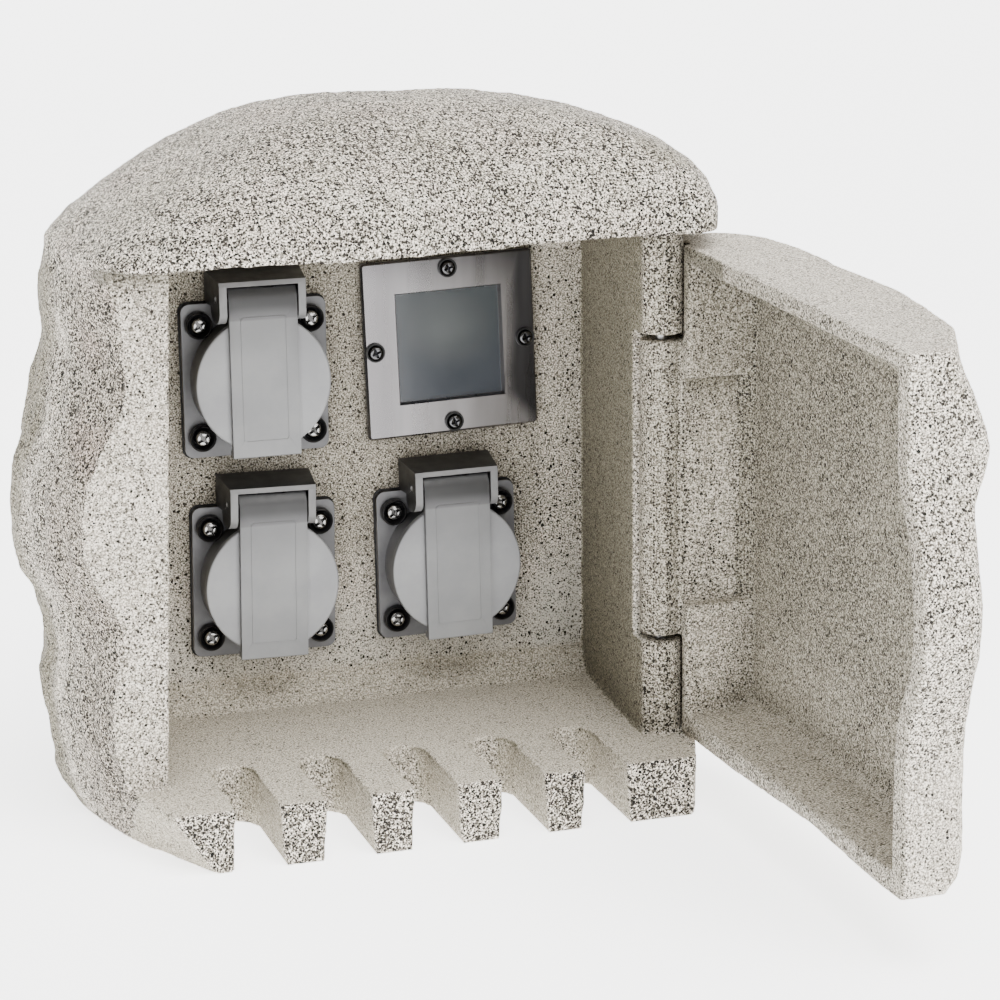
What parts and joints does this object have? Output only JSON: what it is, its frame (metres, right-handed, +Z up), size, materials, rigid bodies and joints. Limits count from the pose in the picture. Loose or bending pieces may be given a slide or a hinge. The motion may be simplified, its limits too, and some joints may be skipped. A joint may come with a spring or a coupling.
{
  "type": "garden power distributor",
  "caption": "Rock-shaped garden power outlet box with a hinged cast door, flapped sockets, a square light and a comb shelf for leads",
  "frame": {"origin": "middle of the flat base, on the surface it stands on", "axes": "+Z up, the open front faces -Y, the hinge is on the +X side"},
  "size_m": [0.246, 0.3263, 0.229],
  "materials": {
    "cast_stone": "matt cast stone with fine dark speckles",
    "grey_plastic": "satin mid grey",
    "dark_plastic": "matt dark grey",
    "black_plastic": "satin black",
    "ivory_plastic": "matt ivory",
    "black_rubber": "matt black",
    "steel": "bright drawn wire",
    "chrome_screw": "bright plated",
    "brushed_steel": "fine brushed",
    "pane_glass": "frosted blue grey",
    "board_green": "satin",
    "led_white": "clear domed",
    "brass": "bright",
    "wire_brown": "smooth",
    "wire_blue": "smooth",
    "wire_green_yellow": "smooth"
  },
  "bodies": {
    "housing": {"rock_housing": "cast_stone", "hinge_pin_upper": "steel", "hinge_pin_lower": "steel", "light_gasket": "black_rubber", "light_frame": "brushed_steel", "light_pane": "pane_glass", "light_box": "dark_plastic", "light_board": "board_green", "light_leds": "led_white", "light_screw_cups": "black_plastic", "light_screws": "chrome_screw", "rear_gasket": "black_rubber", "rear_cover": "dark_plastic", "rear_screws": "chrome_screw", "cable_gland_body": "black_plastic", "cable_gland_seal": "black_rubber", "cable_gland_nut": "black_plastic", "terminal_block": "ivory_plastic", "terminal_screws": "chrome_screw", "wires_live": "wire_brown", "wires_neutral": "wire_blue", "wires_earth": "wire_green_yellow", "socket_upper_left_body": "grey_plastic", "socket_upper_left_lid_pin": "steel", "socket_upper_left_lid_spring": "steel", "socket_upper_left_insert": "dark_plastic", "socket_upper_left_contacts": "brass", "socket_upper_left_earth_clips": "brass", "socket_upper_left_gasket": "black_rubber", "socket_upper_left_screw_cups": "black_plastic", "socket_upper_left_screws": "chrome_screw", "socket_lower_left_body": "grey_plastic", "socket_lower_left_lid_pin": "steel", "socket_lower_left_lid_spring": "steel", "socket_lower_left_insert": "dark_plastic", "socket_lower_left_contacts": "brass", "socket_lower_left_earth_clips": "brass", "socket_lower_left_gasket": "black_rubber", "socket_lower_left_screw_cups": "black_plastic", "socket_lower_left_screws": "chrome_screw", "socket_lower_mid_body": "grey_plastic", "socket_lower_mid_lid_pin": "steel", "socket_lower_mid_lid_spring": "steel", "socket_lower_mid_insert": "dark_plastic", "socket_lower_mid_contacts": "brass", "socket_lower_mid_earth_clips": "brass", "socket_lower_mid_gasket": "black_rubber", "socket_lower_mid_screw_cups": "black_plastic", "socket_lower_mid_screws": "chrome_screw"},
    "door": {"rock_door": "cast_stone"},
    "upper_left_flap": {"socket_upper_left_lid": "grey_plastic", "socket_upper_left_lid_seal": "black_rubber"},
    "lower_left_flap": {"socket_lower_left_lid": "grey_plastic", "socket_lower_left_lid_seal": "black_rubber"},
    "lower_mid_flap": {"socket_lower_mid_lid": "grey_plastic", "socket_lower_mid_lid_seal": "black_rubber"}
  },
  "joints": [
    {"name": "door_hinge", "type": "hinge", "parent": "housing", "child": "door", "pos_m": [0.0884, -0.0514, 0.102], "axis": [0, 0, 1], "range_deg": [-90, 10]},
    {"name": "upper_left_flap_hinge", "type": "hinge", "parent": "housing", "child": "upper_left_flap", "pos_m": [-0.03005, 0.0068, 0.1638], "axis": [-1, 0, -0.0017], "range_deg": [0, 90], "stiffness_Nm_per_rad": 0.02, "springref_deg": -17.19},
    {"name": "lower_left_flap_hinge", "type": "hinge", "parent": "housing", "child": "lower_left_flap", "pos_m": [-0.0285, 0.0068, 0.0942], "axis": [-0.9998, 0, 0.0175], "range_deg": [0, 90], "stiffness_Nm_per_rad": 0.02, "springref_deg": -17.19},
    {"name": "lower_mid_flap_hinge", "type": "hinge", "parent": "housing", "child": "lower_mid_flap", "pos_m": [0.03545, 0.0068, 0.0948], "axis": [-0.9999, 0, -0.0122], "range_deg": [0, 90], "stiffness_Nm_per_rad": 0.02, "springref_deg": -17.19}
  ]
}
